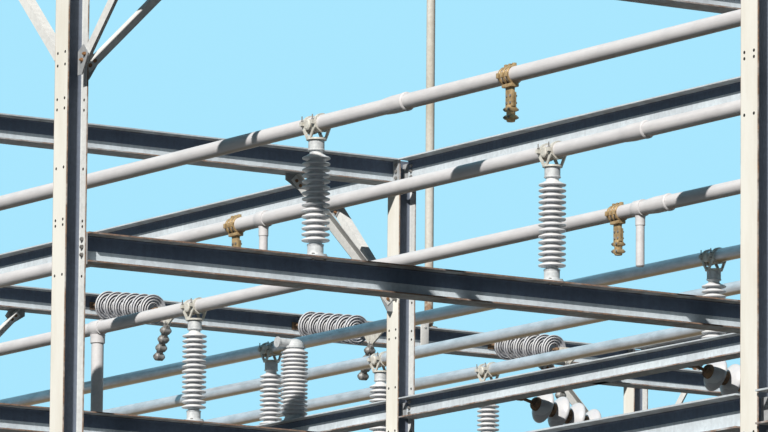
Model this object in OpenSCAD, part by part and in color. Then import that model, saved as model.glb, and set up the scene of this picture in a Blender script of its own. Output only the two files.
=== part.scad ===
// Rigid-bus support structure of an outdoor substation, millimetres, +Z up.
// Columns stand on a grid of lines (along X) and rows (along Y).
// The origin is on the ground at the centre of the grid.

/* [Grid] */
// Distance between column lines, along X
bay_x = 7320; // [6500:10:8200]
// Distance between column rows, along Y
bay_y = 7400; // [6600:10:8200]
// Distance between the phases of the main bus
phase = 1830; // [1500:10:2000]
// How far the main tubes run past the outer rows
tube_overhang = 900; // [600:10:1500]

/* [Levels] */
// Top of the high beams, where the columns end
high_top = 11240; // [10800:10:12500]
// Top of the cross beams that carry the main posts
low_top = 9100; // [8700:10:9250]
// Top of the beams that run along the middle and far lines
run_top = 9415; // [9380:5:9600]
// Top of the beam that runs along the near line
near_top = 7285; // [6500:5:8300]

/* [Rolled sections] */
// Depth of the column section
col_d = 152; // [140:1:180]
// Width of the column section
col_b = 160; // [150:1:180]
// Web thickness of the column section
col_web = 6; // [5:0.5:10]
// Flange thickness of the column section
col_flange = 9; // [8:0.5:14]
// Depth of the beam section
beam_d = 190; // [170:1:220]
// Width of the beam section
beam_b = 200; // [180:1:220]
// Web thickness of the beam section
beam_web = 6.5; // [5:0.5:10]
// Flange thickness of the beam section
beam_flange = 10; // [8:0.5:16]
// Root radius inside the rolled sections
root_r = 15; // [8:1:18]
// Clearance between a beam's end and the column it meets
end_gap = 12; // [6:1:20]

/* [Column feet] */
// Side of the square base plate
plate_w = 360; // [320:5:450]
// Thickness of the base plate
plate_t = 25; // [16:1:40]
// Distance between the anchor holes, both ways
anchor_pitch = 260; // [220:5:280]
// Radius of an anchor hole
anchor_r = 13.5; // [10:0.5:16]

/* [Knee braces] */
// Distance from the work point to the column and beam centre lines
brace_leg = 1100; // [800:10:1400]
// Leg of the brace angle
angle_w = 60; // [50:1:80]
// Thickness of the brace angle
angle_t = 6; // [5:0.5:8]
// Thickness of the gusset plates
gusset_t = 8; // [6:0.5:12]

/* [Post insulators] */
// Height of a main post from its base to the top of its cap
post_h = 762; // [700:2:900]
// Radius of the porcelain core
core_r = 43; // [36:1:50]
// Radius of the sheds
shed_r = 91; // [80:1:105]
// Number of sheds
shed_count = 15; // [10:1:16]
// Radius of the metal cap and base
cap_r = 52; // [48:1:60]
// Height of the metal cap
cap_h = 70; // [50:1:90]

/* [Bus tubes] */
// Outer radius of the tubes
tube_r = 50; // [44:1:57]
// Wall of the tubes
tube_wall = 6; // [4:0.5:8]
// Height of the tube's underside above the post's cap
saddle_rise = 56; // [48:1:90]
// Outer radius of the sleeve couplers
coupler_r = 62; // [58:1:70]

/* [Rear bus] */
// Distance between the phases of the rear bus
rear_phase = 1045; // [900:5:1200]
// Distance of the first rear tube from the middle line
rear_first = 1050; // [900:10:1400]
// Rear stringer nearer the front, from the second row
stringer_front = 4800; // [4200:10:5400]
// Rear stringer at the back, from the third row
stringer_back = 3500; // [2600:10:4400]
// Distance of the surge arrester from the third row, on the middle line
arrester_reach = 1500; // [1300:10:3000]
// Radius of the arrester sheds
arrester_r = 106; // [98:1:116]
// Height of the arrester's porcelain
arrester_h = 520; // [460:5:640]

/* [Strain strings] */
// Discs in a string
disc_count = 6; // [3:1:8]
// Distance from one disc to the next
disc_pitch = 146; // [140:1:170]
// Radius of a disc
disc_r = 127; // [110:1:135]
// Droop of the strings below the horizontal, in degrees
droop = 14; // [5:1:25]
// Distance between the strings along their beam
string_pitch = 2030; // [1700:10:2200]
// Distance of the first string from the middle line
string_first = 1710; // [1300:10:2200]

/* [Mast] */
// Outer radius of the mast
mast_r = 50; // [40:1:60]
// Height of the mast above its beam
mast_h = 3600; // [2500:50:5000]
// Distance of the mast from the middle line
mast_x = 5120; // [4400:10:5600]

/* [Hidden] */
$fn = 48;

line_x = [-bay_x, 0, bay_x];
row_y = [for (i = [0 : 3]) (i - 1.5) * bay_y];
tube_z = post_h + saddle_rise + tube_r;
core_in = 1;
shed_bottom = 115;
shed_top = post_h - 115;
tube_front = row_y[0] - tube_overhang;
tube_back = row_y[3] + tube_overhang;
rear_x = [for (i = [0 : 2]) rear_first + i * rear_phase];
rear_y = [row_y[1] + stringer_front, row_y[2] + stringer_back];
link = 150;
side_count = disc_count - 2;
rear_front = rear_y[0] - 1600;
rear_z = run_top + tube_z;
beam_mid = high_top - beam_d / 2;
brace_foot = beam_mid - brace_leg;
web_face = col_web / 2;
end_plate_t = 10;
tab_t = 8;
near_stub = 700;

// Outline of a rolled I section: depth along x, flange width along y, with root fillets.
function fillet_arc(cx, cy, r, a0) = [for (i = [0 : 3]) [cx + r * cos(a0 + i * 30), cy + r * sin(a0 + i * 30)]];
function flip(pts, sx, sy) = [for (p = pts) [p[0] * sx, p[1] * sy]];
function backwards(pts) = [for (i = [len(pts) - 1 : -1 : 0]) pts[i]];
function quarter(d, b, web, flange) = concat([[d / 2, b / 2], [d / 2 - flange, b / 2]],
  backwards(fillet_arc(d / 2 - flange - root_r, web / 2 + root_r, root_r, 270)));

module i_outline(d, b, web, flange) {
  q = quarter(d, b, web, flange);
  polygon(concat(q, backwards(flip(q, -1, 1)), flip(q, -1, -1), backwards(flip(q, 1, -1))));
}

// Beam along X with its top at z = 0, from x0 to x1.
module beam_x(x0, x1, d, b, web, flange) {
  translate([x0, 0, -d / 2]) rotate([0, 90, 0]) linear_extrude(x1 - x0) i_outline(d, b, web, flange);
}

// Beam along Y with its top at z = 0, from y0 to y1.
module beam_y(y0, y1, d, b, web, flange) {
  translate([0, y0, 0]) rotate([0, 0, 90]) beam_x(0, y1 - y0, d, b, web, flange);
}

module wide_beam_x(x0, x1) { beam_x(x0, x1, beam_d, beam_b, beam_web, beam_flange); }
module wide_beam_y(y0, y1) { beam_y(y0, y1, beam_d, beam_b, beam_web, beam_flange); }

// Column on its drilled base plate, with a stiffener on each side of the web.
module column() {
  translate([0, 0, plate_t / 2]) linear_extrude(high_top - plate_t / 2)
    i_outline(col_d, col_b, col_web, col_flange);
  difference() {
    translate([-plate_w / 2, -plate_w / 2, 0]) cube([plate_w, plate_w, plate_t]);
    for (x = [-1, 1], y = [-1, 1])
      translate([x, y, 0] * anchor_pitch / 2 - [0, 0, 1]) cylinder(h = plate_t + 2, r = anchor_r);
  }
  for (side = [-1, 1]) translate([0, side * (web_face - 1), 0]) rotate([90, 0, 90])
    translate([0, 0, -end_plate_t / 2]) linear_extrude(end_plate_t)
      polygon([[0, plate_t - 2], [side * 150, plate_t - 2], [side * 150, plate_t + 30], [side * 40, 190], [0, 190]]);
}

module columns(line, rows) {
  color("gainsboro") for (r = rows) translate([line_x[line], row_y[r], 0]) column();
}

// Beams across the grid, end to end between two neighbouring lines.
module cross_beams(row, spans, top) {
  inset = col_d / 2 + end_plate_t;
  color("lightsteelblue") for (s = spans)
    translate([0, row_y[row], top]) wide_beam_x(line_x[s] + inset, line_x[s + 1] - inset);
}

// Beams along a line, end to end between two neighbouring rows.
module high_line_beams(line, spans) {
  inset = col_b / 2 + end_gap;
  color("lightsteelblue") for (s = spans)
    translate([line_x[line], 0, high_top]) wide_beam_y(row_y[s] + inset, row_y[s + 1] - inset);
}

module low_line_beams(line, spans) {
  inset = col_b / 2 + end_gap;
  color("lightsteelblue") for (s = spans) translate([line_x[line], 0, run_top])
    beam_y(row_y[s] + inset, row_y[s + 1] - inset, col_d, col_b, col_web, col_flange);
}

module near_line_low_beams() {
  inset = col_b / 2 + end_gap;
  color("lightsteelblue") translate([line_x[0], 0, near_top]) {
    for (s = [0 : 2]) wide_beam_y(row_y[s] + inset, row_y[s + 1] - inset);
    wide_beam_y(row_y[0] - near_stub, row_y[0] - inset);
  }
}

// Stringer along X between the low beams of the middle and far lines.
module stringer(y, b, d) {
  inset = col_web / 2;
  color("lightsteelblue") translate([0, y, run_top])
    beam_x(line_x[1] + inset + tab_t, line_x[2] - inset - tab_t, d, b, col_web, col_flange);
}

// End plate between a column's flange and a beam's end, at both ends of a cross beam.
module end_plates() {
  color("silver") {
    for (r = [0 : 3], end = [0, 1]) end_plate(0, end, r, low_top);
    for (r = [0 : 3], end = [0, 1]) end_plate(0, end, r, high_top);
    for (r = [1, 3], end = [0, 1]) end_plate(1, end, r, high_top);
  }
}

module end_plate(span, end, row, top) {
  face = end == 0 ? line_x[span] + col_d / 2 : line_x[span + 1] - col_d / 2 - end_plate_t;
  translate([face, row_y[row] - col_b / 2, top - beam_d - 15]) cube([end_plate_t, col_b, beam_d + 15]);
}

// Tab from a column's web to the web of a beam that runs along the line.
module shear_tab(line, row, side, top, depth, web) {
  reach = col_b / 2 + end_gap + 90;
  translate([line_x[line] + web / 2, row_y[row], top - depth / 2])
    translate([0, side > 0 ? web_face : -reach, -depth / 2 + 28])
      cube([tab_t, reach - web_face, depth - 56]);
}

module shear_tabs() {
  color("silver") {
    for (s = [0 : 2], end = [0, 1]) shear_tab(0, s + end, 1 - 2 * end, high_top, beam_d, beam_web);
    for (s = [0 : 2], end = [0, 1]) shear_tab(1, s + end, 1 - 2 * end, high_top, beam_d, beam_web);
    for (s = [1 : 2], end = [0, 1]) shear_tab(2, s + end, 1 - 2 * end, high_top, beam_d, beam_web);
    for (s = [0 : 2], end = [0, 1]) shear_tab(1, s + end, 1 - 2 * end, run_top, col_d, col_web);
    for (s = [1 : 2], end = [0, 1]) shear_tab(2, s + end, 1 - 2 * end, run_top, col_d, col_web);
    for (s = [0 : 2], end = [0, 1]) shear_tab(0, s + end, 1 - 2 * end, near_top, beam_d, beam_web);
    shear_tab(0, 0, -1, near_top, beam_d, beam_web);
  }
}

// Knee brace in the x-z plane of a column at the origin, rising towards +X.
module brace_bar(start) {
  first = start + 70;
  last = brace_leg - beam_d / 2 - 60;
  translate([first, 0, brace_foot + first]) rotate([0, 45, 0]) linear_extrude((last - first) * sqrt(2))
    translate([-angle_w / 2, gusset_t / 2]) {
      square([angle_w, angle_t]);
      square([angle_t, angle_w]);
    }
}

module column_gusset(start) {
  z0 = brace_foot + start;
  rotate([90, 0, 0]) translate([0, 0, -gusset_t / 2]) linear_extrude(gusset_t)
    polygon([[start, z0 - 110], [start, z0 + 140], [start + 120, z0 + 210], [start + 200, z0 + 130],
      [start + 80, z0 - 60]]);
}

module beam_gusset() {
  hit = brace_leg - beam_d / 2;
  z1 = high_top - beam_d;
  rotate([90, 0, 0]) translate([0, 0, -gusset_t / 2]) linear_extrude(gusset_t)
    polygon([[hit - 130, z1], [hit + 90, z1], [hit + 60, z1 - 70], [hit - 110, z1 - 200], [hit - 190, z1 - 130]]);
}

// Places its children at each column, turned towards the beam that the brace carries.
module at_cross_braces() {
  for (r = [0 : 3]) {
    translate([line_x[0], row_y[r], 0]) children();
    translate([line_x[1], row_y[r], 0]) mirror([1, 0, 0]) children();
  }
  for (r = [1, 3]) {
    translate([line_x[1], row_y[r], 0]) children();
    translate([line_x[2], row_y[r], 0]) mirror([1, 0, 0]) children();
  }
}

module at_line_braces() {
  spans = [[0, 0], [0, 1], [0, 2], [1, 2], [2, 1], [2, 2]];
  for (s = spans) {
    translate([line_x[s[0]], row_y[s[1]], 0]) rotate([0, 0, 90]) children();
    translate([line_x[s[0]], row_y[s[1] + 1], 0]) mirror([0, 1, 0]) rotate([0, 0, 90]) children();
  }
}

module knee_braces_across() { color("whitesmoke") at_cross_braces() brace_bar(col_d / 2); }
module knee_braces_along() { color("whitesmoke") at_line_braces() brace_bar(col_b / 2); }

module gussets_across() {
  color("dimgray") at_cross_braces() {
    column_gusset(col_d / 2);
    beam_gusset();
  }
}

module gussets_along() {
  color("dimgray") at_line_braces() {
    column_gusset(web_face);
    beam_gusset();
  }
}

// Porcelain of a post: a core with sheds that slope outwards and have a drip lip.
function shed(z, core, rim) = [[core, z - 9], [rim - 4, z - 6], [rim, z - 3], [rim, z + 2], [rim - 5, z + 5],
  [core + 3, z + 15]];

module ribbed_core(low, high, first, last, count, core, rim) {
  step = (last - first) / (count - 1);
  rotate_extrude() polygon(concat([[0, low], [core, low]],
    [for (i = [0 : count - 1]) each shed(first + i * step, core, rim)], [[core, high], [0, high]]));
}

module at_posts(row) {
  for (i = [1 : 3]) translate([line_x[0] + i * phase, row_y[row], low_top]) children();
}

module post_porcelain(row) {
  color("gainsboro") at_posts(row)
    ribbed_core(80, post_h - cap_h + 6, shed_bottom, shed_top, shed_count, core_r, shed_r);
}

// Cast cap: a cup over the porcelain with a rolled lip.
module post_cap() {
  z0 = post_h - cap_h;
  rotate_extrude() polygon([[core_r, z0], [cap_r + 2, z0], [cap_r + 4, z0 + 5], [cap_r, z0 + 12],
    [cap_r, post_h - 4], [cap_r - 4, post_h], [0, post_h], [0, z0 + 6], [core_r, z0 + 6]]);
}

// Cast base: a cup under the porcelain on a round bolting flange.
module post_base() {
  difference() {
    rotate_extrude() polygon([[0, 0], [78, 0], [78, 14], [cap_r + 6, 18], [cap_r, 30], [cap_r, 74],
      [cap_r + 3, 80], [cap_r + 3, 86], [core_r, 86], [core_r, 80], [0, 80]]);
    for (a = [45 : 90 : 315]) rotate(a) translate([64, 0, -1]) cylinder(h = 22, r = 6.5);
  }
}

module post_caps() { color("silver") for (r = [0 : 3]) at_posts(r) post_cap(); }
module post_bases() { color("silver") for (r = [0 : 3]) at_posts(r) post_base(); }

// Support clamp on a cap: round foot, two forked side plates and two strap rings round the tube.
module bus_clamp() {
  ring_w = 26;
  ring_y = 62;
  ear_x = tube_r + 34;
  tube_mid = saddle_rise + tube_r;
  cylinder(h = 12, r = tube_r + 16);
  for (side = [-1, 1]) translate([side * (tube_r + 7), 0, 0]) rotate([90, 0, 90])
    translate([0, 0, -5]) linear_extrude(10) difference() {
      polygon([[-28, 8], [28, 8], [ring_y + 12, tube_mid - 34], [ring_y + 12, tube_mid + 6],
        [-ring_y - 12, tube_mid + 6], [-ring_y - 12, tube_mid - 34]]);
      polygon([[-16, 26], [16, 26], [ring_y - 14, tube_mid - 28], [-ring_y + 14, tube_mid - 28]]);
    }
  for (y = [-ring_y, ring_y]) translate([0, y, tube_mid]) rotate([90, 0, 0])
    translate([0, 0, -ring_w / 2]) difference() {
      union() {
        cylinder(h = ring_w, r = tube_r + 11);
        translate([-ear_x, -13, 0]) cube([2 * ear_x, 26, ring_w]);
      }
      translate([0, 0, -1]) cylinder(h = ring_w + 2, r = tube_r);
      for (x = [-1, 1]) translate([x * (tube_r + 22), -20, ring_w / 2]) rotate([-90, 0, 0])
        cylinder(h = 40, r = 5.5);
    }
}

module bus_clamps() {
  color("gainsboro") {
    for (r = [0 : 3]) at_posts(r) translate([0, 0, post_h]) bus_clamp();
    at_rear_posts() translate([0, 0, post_h]) bus_clamp();
  }
}

// Tube along Y with closed, domed ends left to the couplers and caps.
module tube_y(x, z, y0, y1) {
  translate([x, y0, z]) rotate([-90, 0, 0]) difference() {
    cylinder(h = y1 - y0, r = tube_r);
    translate([0, 0, -1]) cylinder(h = y1 - y0 + 2, r = tube_r - tube_wall);
  }
}

module main_tube(i) { color("silver") tube_y(line_x[0] + i * phase, low_top + tube_z, tube_front, tube_back); }

// Tapered sleeve with a raised ring on its front end.
module coupler() {
  rotate([90, 0, 0]) rotate_extrude() polygon([[tube_r, -150], [tube_r + 3, -150], [coupler_r, -70],
    [coupler_r, 60], [coupler_r + 3, 64], [coupler_r + 3, 84], [coupler_r - 4, 90], [tube_r, 90]]);
}

module tube_couplers() {
  color("gainsboro") {
    translate([line_x[0] + phase, row_y[1] - 980, low_top + tube_z]) coupler();
    translate([line_x[0] + 2 * phase, row_y[1] - 1000, low_top + tube_z]) coupler();
    translate([line_x[0] + 3 * phase, row_y[1] + 1350, low_top + tube_z]) coupler();
  }
}

// Tee saddle with a closed stub that hangs from the tube.
module stub(length, r) {
  difference() {
    union() {
      translate([0, -r - 14, 0]) rotate([-90, 0, 0]) cylinder(h = 2 * r + 28, r = tube_r + 7);
      translate([0, 0, -length]) cylinder(h = length, r = r);
      translate([0, 0, -length - 8]) cylinder(h = 8, r = r - 8);
      translate([0, 0, -tube_r - 60]) cylinder(h = 50, r = r + 6);
    }
    translate([0, -r - 20, 0]) rotate([-90, 0, 0]) cylinder(h = 2 * r + 40, r = tube_r);
  }
}

module tube_stubs() {
  color("silver") {
    translate([line_x[0] + 2 * phase, row_y[1] + 3540, low_top + tube_z]) stub(400, 38);
    translate([line_x[0] + 3 * phase, row_y[1] + 1620, low_top + tube_z]) stub(400, 38);
    translate([line_x[0] + 3 * phase, row_y[1] + 8800, low_top + tube_z]) stub(1250, 50);
  }
}

// Bronze tap clamp: three straps round the tube, a pad below and a bolted stud clamp.
module tap_clamp() {
  difference() {
    union() {
      for (y = [-44, 0, 44]) translate([0, y - 10, 0]) rotate([-90, 0, 0]) cylinder(h = 20, r = tube_r + 9);
      translate([-26, -54, -tube_r - 24]) cube([52, 108, 26]);
      translate([-9, -45, -tube_r - 110]) cube([18, 90, 96]);
      translate([9, -38, -tube_r - 250]) cube([20, 76, 220]);
      translate([-29, -38, -tube_r - 250]) cube([30, 76, 140]);
    }
    translate([0, -60, 0]) rotate([-90, 0, 0]) cylinder(h = 120, r = tube_r);
    translate([3, 0, -tube_r - 260]) cylinder(h = 150, r = 9);
  }
}

module tap_clamps() {
  color("peru") {
    translate([line_x[0] + phase, row_y[1] - 2220, low_top + tube_z]) tap_clamp();
    translate([line_x[0] + 2 * phase, row_y[1] + 3900, low_top + tube_z]) tap_clamp();
    translate([line_x[0] + 3 * phase, row_y[1] + 1890, low_top + tube_z]) tap_clamp();
  }
}

module at_rear_posts() {
  for (x = rear_x, y = rear_y) translate([x, y, run_top]) children();
}

module rear_tubes() { color("silver") for (x = rear_x) tube_y(x, rear_z, rear_front, tube_back); }

module rear_post_porcelain() {
  color("gainsboro") at_rear_posts()
    ribbed_core(80, post_h - cap_h + 6, shed_bottom, shed_top, shed_count, core_r, shed_r);
}

module rear_post_metal() {
  color("silver") at_rear_posts() {
    post_cap();
    post_base();
  }
}

module at_arrester() {
  translate([line_x[1], row_y[2] + arrester_reach, run_top]) children();
}

module arrester_porcelain() {
  color("gainsboro") at_arrester()
    ribbed_core(40, 40 + arrester_h, 66, 14 + arrester_h, 12, 84, arrester_r);
}

// Domed cap with a short side spout, and a flanged foot under the porcelain.
module arrester_metal() {
  color("silver") at_arrester() {
    translate([0, 0, 40 + arrester_h]) {
      rotate_extrude() polygon(concat([[0, 0], [86, 0], [86, 14]],
        [for (a = [0 : 15 : 75]) [76 * cos(a), 14 + 62 * sin(a)]], [[0, 76]]));
      translate([0, 0, 38]) rotate([0, -90, 0]) cylinder(h = 150, r = 34);
      translate([-150, 0, 38]) rotate([0, -90, 0]) cylinder(h = 12, r = 42);
    }
    difference() {
      rotate_extrude() polygon([[0, 0], [78, 0], [78, 12], [70, 16], [70, 34], [88, 36], [88, 40], [0, 40]]);
      for (a = [45 : 90 : 315]) rotate(a) translate([60, 0, -1]) cylinder(h = 12, r = 6.5);
    }
  }
}

// One disc, its pin towards -Z: ribbed porcelain shell.
module disc_shell() {
  rotate_extrude() polygon([[0, 36], [38, 36], [40, 22], [48, 22], [50, 36], [64, 34], [66, 18], [74, 18],
    [76, 32], [92, 30], [94, 16], [102, 16], [104, 28], [disc_r - 6, 24], [disc_r, 28], [disc_r, 34],
    [96, 62], [58, 84], [0, 84]]);
}

// Cap on a disc and the pin under it that reaches the next disc's cap.
module disc_cap() {
  translate([0, 0, 84]) rotate_extrude() polygon([[0, 0], [54, 0], [54, 8], [44, 30], [30, 40], [0, 40]]);
  translate([0, 0, 124 - disc_pitch]) cylinder(h = 36 - 124 + disc_pitch, r = 10);
}

// Places its children at the web plate of a string, turned so that -Z runs out along its droop.
module at_back_strings() {
  for (i = [0 : 2]) translate([line_x[1] + string_first + i * string_pitch, row_y[3] - beam_web / 2 - 10, beam_mid])
    rotate([-90 + droop, 0, 0]) children();
}

module at_side_strings() {
  for (reach = [3700, 5900]) translate([line_x[1] + web_face + 10, row_y[1] + reach, run_top - col_d / 2])
    rotate([0, -90 + droop, 0]) rotate(90) children();
}

// Square plate bolted flat on the web, which carries the string's eye.
module web_plate() {
  translate([-32, 0, -32]) cube([64, 10, 64]);
}

module discs(count) {
  for (i = [0 : count - 1]) translate([0, 0, -link - 124 - i * disc_pitch]) disc_shell();
}

module string_links(count) {
  translate([0, 0, -link]) cylinder(h = link, r = 12);
  for (i = [0 : count - 1]) translate([0, 0, -link - 124 - i * disc_pitch]) disc_cap();
  translate([0, 0, -link - count * disc_pitch - 50]) cylinder(h = 62, r = 24);
}

// Triangular yoke with the body of the bolted dead-end clamp on its lower corner.
module yoke(count) {
  translate([0, 0, -link - count * disc_pitch - 50]) rotate([90, 0, 90]) {
    translate([0, 0, -8]) linear_extrude(16)
      polygon([[-34, 0], [34, 0], [64, -200], [26, -226], [-150, -150], [-170, -112]]);
    translate([-128, -128, -26]) cylinder(h = 52, r = 15);
    translate([0, 0, -24]) linear_extrude(48)
      polygon([[-150, -150], [-110, -162], [-150, -330], [-196, -410], [-226, -398], [-196, -300]]);
  }
}

module string_discs() {
  color("gainsboro") {
    at_back_strings() discs(disc_count);
    at_side_strings() discs(side_count);
  }
}

module string_metal() {
  color("sienna") {
    at_back_strings() string_links(disc_count);
    at_side_strings() string_links(side_count);
    for (i = [0 : 2]) translate([line_x[1] + string_first + i * string_pitch, row_y[3] - beam_web / 2 - 10, beam_mid])
      web_plate();
    for (reach = [3700, 5900]) translate([line_x[1] + web_face + 10, row_y[1] + reach, run_top - col_d / 2])
      rotate(90) web_plate();
  }
}

module yoke_plates() {
  color("silver") {
    at_back_strings() yoke(disc_count);
    at_side_strings() yoke(side_count);
  }
}

module mast() {
  color("antiquewhite") translate([line_x[1] + mast_x, row_y[3], high_top]) {
    difference() {
      cylinder(h = mast_h, r = mast_r);
      translate([0, 0, 20]) cylinder(h = mast_h, r = mast_r - 5);
    }
    cylinder(h = 14, r = mast_r + 34);
    translate([0, 0, 44]) cylinder(h = 20, r = mast_r + 5);
  }
}

columns(0, [0 : 3]);  // near_line_columns
columns(1, [0 : 3]);  // middle_line_columns
columns(2, [1 : 3]);  // far_line_columns
cross_beams(0, [0], high_top);  // high_cross_beams_row_1
cross_beams(1, [0, 1], high_top);  // high_cross_beams_row_2
cross_beams(2, [0], high_top);  // high_cross_beams_row_3
cross_beams(3, [0, 1], high_top);  // high_cross_beams_row_4
cross_beams(0, [0], low_top);  // low_cross_beam_row_1
cross_beams(1, [0], low_top);  // low_cross_beam_row_2
cross_beams(2, [0], low_top);  // low_cross_beam_row_3
cross_beams(3, [0], low_top);  // low_cross_beam_row_4
high_line_beams(0, [0 : 2]);  // near_line_high_beams
high_line_beams(1, [0 : 2]);  // middle_line_high_beams
high_line_beams(2, [1, 2]);  // far_line_high_beams
near_line_low_beams();
low_line_beams(1, [0 : 2]);  // middle_line_low_beams
low_line_beams(2, [1, 2]);  // far_line_low_beam
for (y = rear_y) stringer(y, col_b, col_d);  // rear_stringers
end_plates();
shear_tabs();
knee_braces_across();
knee_braces_along();
gussets_across();
gussets_along();
post_porcelain(0);  // post_porcelain_row_1
post_porcelain(1);  // post_porcelain_row_2
post_porcelain(2);  // post_porcelain_row_3
post_porcelain(3);  // post_porcelain_row_4
post_caps();
post_bases();
bus_clamps();
main_tube(1);  // main_tube_1
main_tube(2);  // main_tube_2
main_tube(3);  // main_tube_3
tube_couplers();
tube_stubs();
tap_clamps();
rear_tubes();
rear_post_porcelain();
rear_post_metal();
arrester_porcelain();
arrester_metal();
string_discs();
string_metal();
yoke_plates();
mast();
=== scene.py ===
# Outdoor substation bus support: steel frame, tubular bus, posts and strain strings.
import bpy, bmesh, math
from mathutils import Matrix, Vector


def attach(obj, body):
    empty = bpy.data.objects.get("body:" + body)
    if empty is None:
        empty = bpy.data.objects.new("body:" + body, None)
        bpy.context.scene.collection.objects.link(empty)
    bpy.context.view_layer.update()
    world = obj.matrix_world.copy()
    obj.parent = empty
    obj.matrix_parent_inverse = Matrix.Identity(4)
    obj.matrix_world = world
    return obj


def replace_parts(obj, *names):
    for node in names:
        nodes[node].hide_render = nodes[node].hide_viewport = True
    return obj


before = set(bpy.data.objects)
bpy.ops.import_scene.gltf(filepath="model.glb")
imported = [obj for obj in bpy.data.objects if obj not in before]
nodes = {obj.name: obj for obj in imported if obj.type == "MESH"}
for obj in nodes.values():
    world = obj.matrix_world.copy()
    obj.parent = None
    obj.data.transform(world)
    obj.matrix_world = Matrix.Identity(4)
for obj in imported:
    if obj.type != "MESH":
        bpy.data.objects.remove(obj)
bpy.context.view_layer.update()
print("frame loaded,", len(nodes), "nodes")

# the grid the steel stands on, in metres
grid = {
    "lines": [-7.32, 0.0, 7.32], "rows": [-11.1, -3.7, 3.7, 11.1],
    "highTop": 11.24, "lowTop": 9.1, "runTop": 9.415, "nearTop": 7.285,
    "columnDepth": 0.152, "columnWidth": 0.160, "columnWeb": 0.006, "columnFlange": 0.009,
    "beamDepth": 0.190, "beamWeb": 0.0065, "beamFlange": 0.010, "braceFoot": 10.045, "braceLeg": 1.1,
    "phases": [-5.49, -3.66, -1.83], "rearPhases": [1.05, 2.095, 3.14], "rearRows": [1.1, 7.2],
    "tubeZ": 9.968, "rearTubeZ": 10.283, "tubeRadius": 0.050, "postHeight": 0.762,
    "tubeEnds": (-12.0, 12.0), "rearTubeEnds": (-0.5, 12.0),
    # which spans carry a beam: (row, span) across, (line, span) along; a column stands at (line, row)
    "highCross": [(0, 0), (1, 0), (2, 0), (3, 0), (1, 1), (3, 1)],
    "lowCross": [(0, 0), (1, 0), (2, 0), (3, 0)],
    "highRun": [(0, 0), (0, 1), (0, 2), (1, 0), (1, 1), (1, 2), (2, 1), (2, 2)],
    "lowRun": [(1, 0), (1, 1), (1, 2), (2, 1), (2, 2)], "nearRun": [(0, 0), (0, 1), (0, 2)],
    "bracedRun": [(0, 0), (0, 1), (0, 2), (1, 2), (2, 1), (2, 2)],
    "columns": [(0, 0), (0, 1), (0, 2), (0, 3), (1, 0), (1, 1), (1, 2), (1, 3), (2, 1), (2, 2), (2, 3)],
}
g = grid


# camera as the photo was taken, looking up past the bays
view = {"at": (-32.357, -45.851, 1.529), "heading": 33.014, "rise": 8.921, "roll": 0.481,
        "lens": 370.67, "sensor": 36, "reach": 600}


def makeCamera():
    data = bpy.data.cameras.new("photoCamera")
    data.lens = view["lens"]
    data.sensor_width = view["sensor"]
    data.sensor_fit = "HORIZONTAL"
    data.clip_end = view["reach"]
    cam = bpy.data.objects.new("photoCamera", data)
    bpy.context.scene.collection.objects.link(cam)
    turn = Matrix.Rotation(math.radians(-view["heading"]), 4, "Z")
    turn = turn @ Matrix.Rotation(math.radians(90 + view["rise"]), 4, "X")
    turn = turn @ Matrix.Rotation(math.radians(view["roll"]), 4, "Z")
    cam.matrix_world = Matrix.Translation(view["at"]) @ turn
    bpy.context.scene.camera = cam


makeCamera()


# node helpers
def addNode(tree, kind, inputs):
    made = tree.nodes.new(kind)
    for key, value in inputs.items():
        if isinstance(value, bpy.types.NodeSocket):
            tree.links.new(value, made.inputs[key])
        else:
            made.inputs[key].default_value = value
    return made


def noiseAt(tree, where, scale, detail=4.0, rough=0.55):
    inputs = {"Vector": where, "Scale": scale, "Detail": detail, "Roughness": rough}
    return addNode(tree, "ShaderNodeTexNoise", inputs).outputs["Fac"]


def stretched(tree, where, size):
    return addNode(tree, "ShaderNodeMapping", {"Vector": where, "Scale": size}).outputs["Vector"]


def rampOf(tree, value, stops):
    # a stop of one number is a grey
    made = addNode(tree, "ShaderNodeValToRGB", {0: value})
    bar = made.color_ramp
    while len(bar.elements) < len(stops):
        bar.elements.new(0.5)
    for spot, (at, shade) in zip(bar.elements, stops):
        spot.position = at
        spot.color = (tuple(shade) if len(shade) == 3 else (shade[0],) * 3) + (1.0,)
    return made.outputs["Color"]


def mixed(tree, part, first, second, how="MIX"):
    made = tree.nodes.new("ShaderNodeMix")
    made.data_type = "RGBA"
    made.blend_type = how
    # sockets 6 and 7 are the two colours
    for slot, value in ((0, part), (6, first), (7, second)):
        if isinstance(value, bpy.types.NodeSocket):
            tree.links.new(value, made.inputs[slot])
        else:
            made.inputs[slot].default_value = tuple(value) + (1.0,) if slot else value
    return made.outputs[2]


def maths(tree, how, *values):
    made = addNode(tree, "ShaderNodeMath", dict(enumerate(values)))
    made.operation = how
    return made.outputs[0]


def times(tree, first, *factors):
    for factor in factors:
        first = maths(tree, "MULTIPLY", first, factor)
    return first


def startFinish(name, metal):
    made = bpy.data.materials.new(name)
    made.use_nodes = True
    tree = made.node_tree
    shader = tree.nodes["Principled BSDF"]
    shader.inputs["Metallic"].default_value = metal
    where = tree.nodes.new("ShaderNodeTexCoord")
    side = addNode(tree, "ShaderNodeSeparateXYZ", {"Vector": where.outputs["Normal"]})
    return made, tree, shader, where.outputs["Object"], side


def roughBetween(tree, shader, value, low, high):
    tree.links.new(rampOf(tree, value, [(0.3, (low,)), (0.7, (high,))]), shader.inputs["Roughness"])


def giveBump(tree, shader, height, strength, reach):
    made = addNode(tree, "ShaderNodeBump", {"Height": height, "Strength": strength, "Distance": reach})
    tree.links.new(made.outputs["Normal"], shader.inputs["Normal"])


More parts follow.
